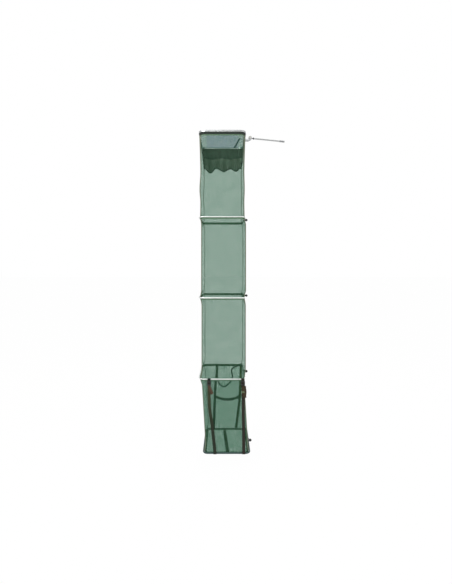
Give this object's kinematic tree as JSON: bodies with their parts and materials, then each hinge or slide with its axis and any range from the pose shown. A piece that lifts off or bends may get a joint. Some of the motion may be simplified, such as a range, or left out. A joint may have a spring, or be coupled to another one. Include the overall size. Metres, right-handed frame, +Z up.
{
  "type": "keep net",
  "caption": "Long rectangular folding keep net hanging from a short tilting rod, with ringed mesh walls, an escape skirt and carrying straps; keeps caught fish alive in the water",
  "frame": {"origin": "middle of the flat end face of the rod, where the net is held", "axes": "Z is up, X runs from the net towards the rod's free end across the net's width, Y is the net's depth away from the viewer"},
  "size_m": [0.7022, 0.4526, 2.5348],
  "materials": {
    "silver_aluminium": "clear anodised, satin",
    "die_cast_silver": "die cast, tumbled",
    "dark_steel": "blackened",
    "knob_grey": "matt warm grey",
    "black_plastic": "fine matt moulding",
    "grey_plastic": "matt grey",
    "green_netting": "knotless mesh",
    "pale_blue_mesh": "fine mesh",
    "dark_green_tape": "ribbed tape",
    "black_webbing": "woven webbing",
    "dark_green_cloth": "plain weave",
    "slate_sleeve": "plain weave",
    "olive_webbing": "woven webbing",
    "brown_webbing": "woven webbing",
    "grip_green": "padded cloth"
  },
  "bodies": {
    "rod": {"rod_tube": "silver_aluminium", "rod_end_cap": "grey_plastic", "neck_stud": "dark_steel", "jam_nut": "dark_steel", "swivel_eye": "die_cast_silver"},
    "head": {"clamp_body": "die_cast_silver", "clamp_saddle": "die_cast_silver", "clamp_screw_front": "dark_steel", "clamp_screw_back": "dark_steel", "pivot_washer": "black_plastic", "mouth_ring": "silver_aluminium", "mouth_hem": "black_webbing", "skirt_band": "dark_green_cloth", "skirt_ruffle": "dark_green_cloth", "front_guard": "pale_blue_mesh", "net_section_1": "green_netting", "seam_tapes_1": "dark_green_tape"},
    "knob": {"thumb_knob": "knob_grey", "pivot_pin": "dark_steel"},
    "ring_2": {"ring_2_tube": "silver_aluminium", "ring_2_joiner": "black_plastic", "ring_2_tape": "dark_green_tape", "net_section_2": "green_netting", "seam_tapes_2": "dark_green_tape"},
    "ring_3": {"ring_3_tube": "silver_aluminium", "ring_3_joiner": "black_plastic", "ring_3_tape": "dark_green_tape", "net_section_3": "green_netting", "seam_tapes_3": "dark_green_tape"},
    "ring_4": {"ring_4_tube": "silver_aluminium", "ring_4_joiner": "black_plastic", "ring_4_tape": "dark_green_tape", "net_section_4": "green_netting", "seam_tapes_4": "dark_green_tape", "strap_near_left": "brown_webbing", "strap_near_right": "brown_webbing", "strap_far_left": "olive_webbing", "strap_far_right": "olive_webbing", "buckle_left": "black_plastic", "buckle_right": "black_plastic", "folded_webbing": "brown_webbing", "handle_strap": "dark_green_tape", "handle_grip": "grip_green", "cord_knot_left": "olive_webbing", "cord_knot_right": "olive_webbing", "tie_cord": "olive_webbing"},
    "base": {"base_ring_tube": "silver_aluminium", "base_ring_joiner": "black_plastic", "base_sleeve": "slate_sleeve", "floor_binding": "dark_green_tape", "floor_net": "green_netting", "floor_strap": "olive_webbing"}
  },
  "joints": [
    {"name": "head_tilt", "type": "hinge", "parent": "rod", "child": "head", "pos_m": [-0.28658, 0, 0.0286], "axis": [0, 1, 0], "range_deg": [-84, 185]},
    {"name": "knob_turn", "type": "hinge", "parent": "head", "child": "knob", "pos_m": [-0.28658, 0, 0.0286], "axis": [0, 1, 0], "range_deg": [0, 360]},
    {"name": "ring_2_slide", "type": "slide", "parent": "head", "child": "ring_2", "axis": [0, 0, 1], "range_m": [0, 0.628], "deforming": ["net_section_1", "seam_tapes_1", "skirt_band", "skirt_ruffle", "front_guard"]},
    {"name": "ring_3_slide", "type": "slide", "parent": "ring_2", "child": "ring_3", "axis": [0, 0, 1], "range_m": [0, 0.607], "deforming": ["net_section_2", "seam_tapes_2"]},
    {"name": "ring_4_slide", "type": "slide", "parent": "ring_3", "child": "ring_4", "axis": [0, 0, 1], "range_m": [0, 0.608], "deforming": ["net_section_3", "seam_tapes_3"]},
    {"name": "base_slide", "type": "slide", "parent": "ring_4", "child": "base", "axis": [0, 0, 1], "range_m": [0, 0.552], "deforming": ["net_section_4", "seam_tapes_4", "strap_near_left", "strap_near_right", "strap_far_left", "strap_far_right", "handle_strap", "handle_grip"]}
  ]
}
